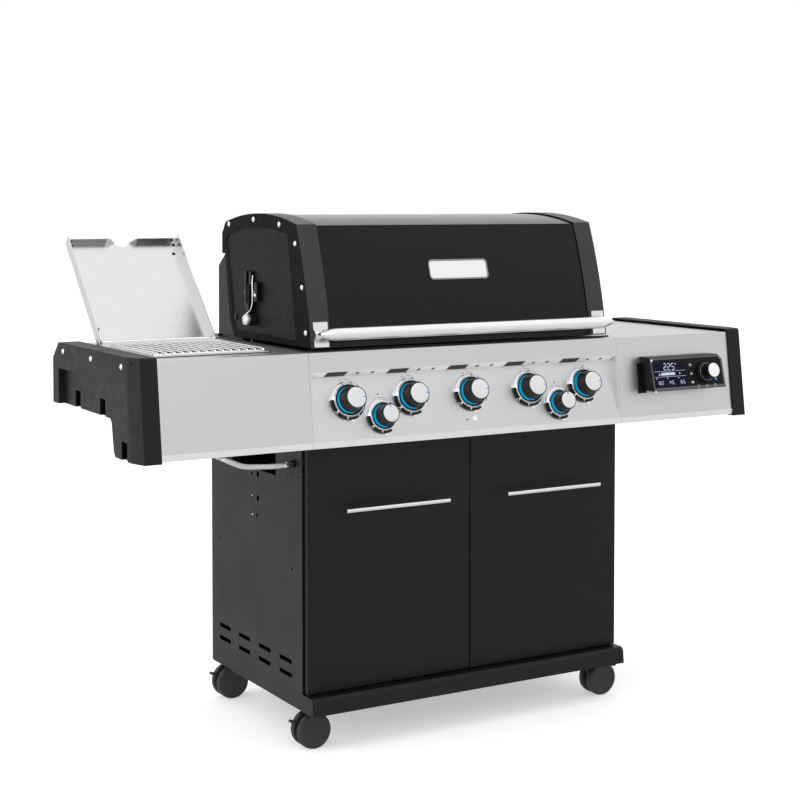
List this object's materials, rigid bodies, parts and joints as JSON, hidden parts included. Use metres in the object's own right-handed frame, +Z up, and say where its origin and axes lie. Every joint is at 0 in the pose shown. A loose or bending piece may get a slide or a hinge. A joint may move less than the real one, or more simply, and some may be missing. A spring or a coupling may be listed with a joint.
{
  "type": "gas barbecue grill",
  "caption": "Gas grill cart: cook box with hinged lid, knob panel, side shelves, side burner with lid, temperature controller, two-door cabinet and braked swivel casters.",
  "frame": {"origin": "on the floor, in the middle of the object's bounding box seen from above", "axes": "+X to the right seen from the front, +Y to the back, +Z up"},
  "size_m": [1.614, 0.6843, 1.154],
  "materials": {
    "steel_black": "black powder coat, satin",
    "steel_grey": "dark grey powder coat, satin",
    "enamel": "gloss porcelain enamel",
    "cast": "cast aluminium, painted dark grey",
    "brushed": "brushed stainless steel",
    "chrome": "polished chrome plate",
    "iron": "matt enamelled cast iron",
    "burner_steel": "stainless steel, dull",
    "moulded": "moulded dark grey plastic, fine grain",
    "knob": "black plastic, satin",
    "brass": "brass, cast",
    "hose": "corrugated stainless hose",
    "screen": "dark blue display window",
    "tyre": "hard rubber tread"
  },
  "bodies": {
    "cart": {"base_pan": "steel_black", "side_panel_left": "steel_grey", "side_panel_right": "steel_grey", "back_panel": "steel_black", "front_frame": "steel_black", "firebox": "enamel", "burner_tubes": "burner_steel", "flame_tamers": "burner_steel", "cooking_grates": "iron", "warming_rack": "chrome", "rear_burner": "burner_steel", "gas_manifold": "brass", "control_panel": "brushed", "knob_bezels": "chrome", "shelf_left": "brushed", "shelf_right": "brushed", "shelf_end_caps": "moulded", "side_burner_bowl": "steel_black", "side_burner_head": "brass", "side_burner_grate": "chrome", "gas_hose": "hose", "controller_housing": "knob", "controller_screen": "screen", "pins_and_screws": "chrome"},
    "lid": {"lid_shell": "enamel", "lid_end_caps": "cast", "lid_handle": "chrome", "lid_handle_brackets": "chrome", "nameplate": "chrome", "lid_screws": "chrome", "spit_bracket": "cast"},
    "burner_lid": {"burner_lid": "brushed"},
    "door_left": {"door_left": "steel_black", "door_handle_left": "chrome"},
    "door_right": {"door_right": "steel_black", "door_handle_right": "chrome"},
    "grease_tray": {"grease_tray": "burner_steel"},
    "main_knob_1": {"main_knob_1": "knob"},
    "main_knob_2": {"main_knob_2": "knob"},
    "main_knob_3": {"main_knob_3": "knob"},
    "main_knob_4": {"main_knob_4": "knob"},
    "main_knob_5": {"main_knob_5": "knob"},
    "side_burner_knob": {"side_burner_knob": "knob"},
    "rear_burner_knob": {"rear_burner_knob": "knob"},
    "temperature_dial": {"temperature_dial": "knob"},
    "panel_button_1": {"panel_button_1": "burner_steel"},
    "panel_button_2": {"panel_button_2": "burner_steel"},
    "panel_button_3": {"panel_button_3": "burner_steel"},
    "caster_fork_front_left": {"caster_fork_front_left": "steel_black"},
    "caster_wheels_front_left": {"caster_wheels_front_left": "tyre"},
    "brake_lever_front_left": {"brake_lever_front_left": "moulded"},
    "caster_fork_front_right": {"caster_fork_front_right": "steel_black"},
    "caster_wheels_front_right": {"caster_wheels_front_right": "tyre"},
    "brake_lever_front_right": {"brake_lever_front_right": "moulded"},
    "caster_fork_rear_left": {"caster_fork_rear_left": "steel_black"},
    "caster_wheels_rear_left": {"caster_wheels_rear_left": "tyre"},
    "brake_lever_rear_left": {"brake_lever_rear_left": "moulded"},
    "caster_fork_rear_right": {"caster_fork_rear_right": "steel_black"},
    "caster_wheels_rear_right": {"caster_wheels_rear_right": "tyre"},
    "brake_lever_rear_right": {"brake_lever_rear_right": "moulded"}
  },
  "joints": [
    {"name": "lid_hinge", "type": "hinge", "parent": "cart", "child": "lid", "pos_m": [0, 0.151, 0.912], "axis": [-1, 0, 0], "range_deg": [0, 85]},
    {"name": "burner_lid_hinge", "type": "hinge", "parent": "cart", "child": "burner_lid", "pos_m": [-0.6005, 0.113, 0.868], "axis": [1, 0, 0], "range_deg": [0, 133.2]},
    {"name": "door_left_hinge", "type": "hinge", "parent": "cart", "child": "door_left", "pos_m": [-0.405, -0.244, 0.388], "axis": [0, 0, -1], "range_deg": [0, 115]},
    {"name": "door_right_hinge", "type": "hinge", "parent": "cart", "child": "door_right", "pos_m": [0.405, -0.244, 0.388], "axis": [0, 0, 1], "range_deg": [0, 115]},
    {"name": "grease_tray_slide", "type": "slide", "parent": "cart", "child": "grease_tray", "axis": [0, 1, 0], "range_m": [0, 0.35]},
    {"name": "valve_knob_1", "type": "hinge", "parent": "cart", "child": "main_knob_1", "pos_m": [-0.314, -0.25171, 0.752], "axis": [0, -0.9588, 0.284], "range_deg": [-270, 0]},
    {"name": "valve_knob_2", "type": "hinge", "parent": "cart", "child": "main_knob_2", "pos_m": [-0.157, -0.25171, 0.752], "axis": [0, -0.9588, 0.284], "range_deg": [-270, 0]},
    {"name": "valve_knob_3", "type": "hinge", "parent": "cart", "child": "main_knob_3", "pos_m": [0, -0.25171, 0.752], "axis": [0, -0.9588, 0.284], "range_deg": [-270, 0]},
    {"name": "valve_knob_4", "type": "hinge", "parent": "cart", "child": "main_knob_4", "pos_m": [0.157, -0.25171, 0.752], "axis": [0, -0.9588, 0.284], "range_deg": [-270, 0]},
    {"name": "valve_knob_5", "type": "hinge", "parent": "cart", "child": "main_knob_5", "pos_m": [0.314, -0.25171, 0.752], "axis": [0, -0.9588, 0.284], "range_deg": [-270, 0]},
    {"name": "valve_knob_6", "type": "hinge", "parent": "cart", "child": "side_burner_knob", "pos_m": [-0.2355, -0.26297, 0.714], "axis": [0, -0.9588, 0.284], "range_deg": [0, 270]},
    {"name": "valve_knob_7", "type": "hinge", "parent": "cart", "child": "rear_burner_knob", "pos_m": [0.2355, -0.26297, 0.714], "axis": [0, -0.9588, 0.284], "range_deg": [0, 270]},
    {"name": "temp_dial", "type": "hinge", "parent": "cart", "child": "temperature_dial", "pos_m": [0.64, -0.30467, 0.769], "axis": [0, -0.9698, 0.2438], "continuous": true},
    {"name": "panel_button_1", "type": "slide", "parent": "cart", "child": "panel_button_1", "axis": [0, -0.9698, 0.2438], "range_m": [-0.0015, 0], "stiffness_N_per_m": 200, "springref_m": 0.0005},
    {"name": "panel_button_2", "type": "slide", "parent": "cart", "child": "panel_button_2", "axis": [0, -0.9698, 0.2438], "range_m": [-0.0015, 0], "stiffness_N_per_m": 200, "springref_m": 0.0005},
    {"name": "panel_button_3", "type": "slide", "parent": "cart", "child": "panel_button_3", "axis": [0, -0.9698, 0.2438], "range_m": [-0.0015, 0], "stiffness_N_per_m": 200, "springref_m": 0.0005},
    {"name": "swivel_front_left", "type": "hinge", "parent": "cart", "child": "caster_fork_front_left", "pos_m": [-0.365, -0.216, 0.095], "axis": [0, 0, 1], "continuous": true},
    {"name": "wheel_front_left", "type": "hinge", "parent": "caster_fork_front_left", "child": "caster_wheels_front_left", "pos_m": [-0.387, -0.216, 0.039], "axis": [0, 1, 0], "continuous": true},
    {"name": "toe_brake_front_left", "type": "hinge", "parent": "caster_fork_front_left", "child": "brake_lever_front_left", "pos_m": [-0.402, -0.216, 0.057], "axis": [0, -1, 0], "range_deg": [0, 15]},
    {"name": "swivel_front_right", "type": "hinge", "parent": "cart", "child": "caster_fork_front_right", "pos_m": [0.365, -0.216, 0.095], "axis": [0, 0, 1], "continuous": true},
    {"name": "wheel_front_right", "type": "hinge", "parent": "caster_fork_front_right", "child": "caster_wheels_front_right", "pos_m": [0.387, -0.216, 0.039], "axis": [0, 1, 0], "continuous": true},
    {"name": "toe_brake_front_right", "type": "hinge", "parent": "caster_fork_front_right", "child": "brake_lever_front_right", "pos_m": [0.402, -0.216, 0.057], "axis": [0, 1, 0], "range_deg": [0, 15]},
    {"name": "swivel_rear_left", "type": "hinge", "parent": "cart", "child": "caster_fork_rear_left", "pos_m": [-0.365, 0.204, 0.095], "axis": [0, 0, 1], "continuous": true},
    {"name": "wheel_rear_left", "type": "hinge", "parent": "caster_fork_rear_left", "child": "caster_wheels_rear_left", "pos_m": [-0.387, 0.204, 0.039], "axis": [0, 1, 0], "continuous": true},
    {"name": "toe_brake_rear_left", "type": "hinge", "parent": "caster_fork_rear_left", "child": "brake_lever_rear_left", "pos_m": [-0.402, 0.204, 0.057], "axis": [0, -1, 0], "range_deg": [0, 15]},
    {"name": "swivel_rear_right", "type": "hinge", "parent": "cart", "child": "caster_fork_rear_right", "pos_m": [0.365, 0.204, 0.095], "axis": [0, 0, 1], "continuous": true},
    {"name": "wheel_rear_right", "type": "hinge", "parent": "caster_fork_rear_right", "child": "caster_wheels_rear_right", "pos_m": [0.387, 0.204, 0.039], "axis": [0, 1, 0], "continuous": true},
    {"name": "toe_brake_rear_right", "type": "hinge", "parent": "caster_fork_rear_right", "child": "brake_lever_rear_right", "pos_m": [0.402, 0.204, 0.057], "axis": [0, 1, 0], "range_deg": [0, 15]}
  ]
}
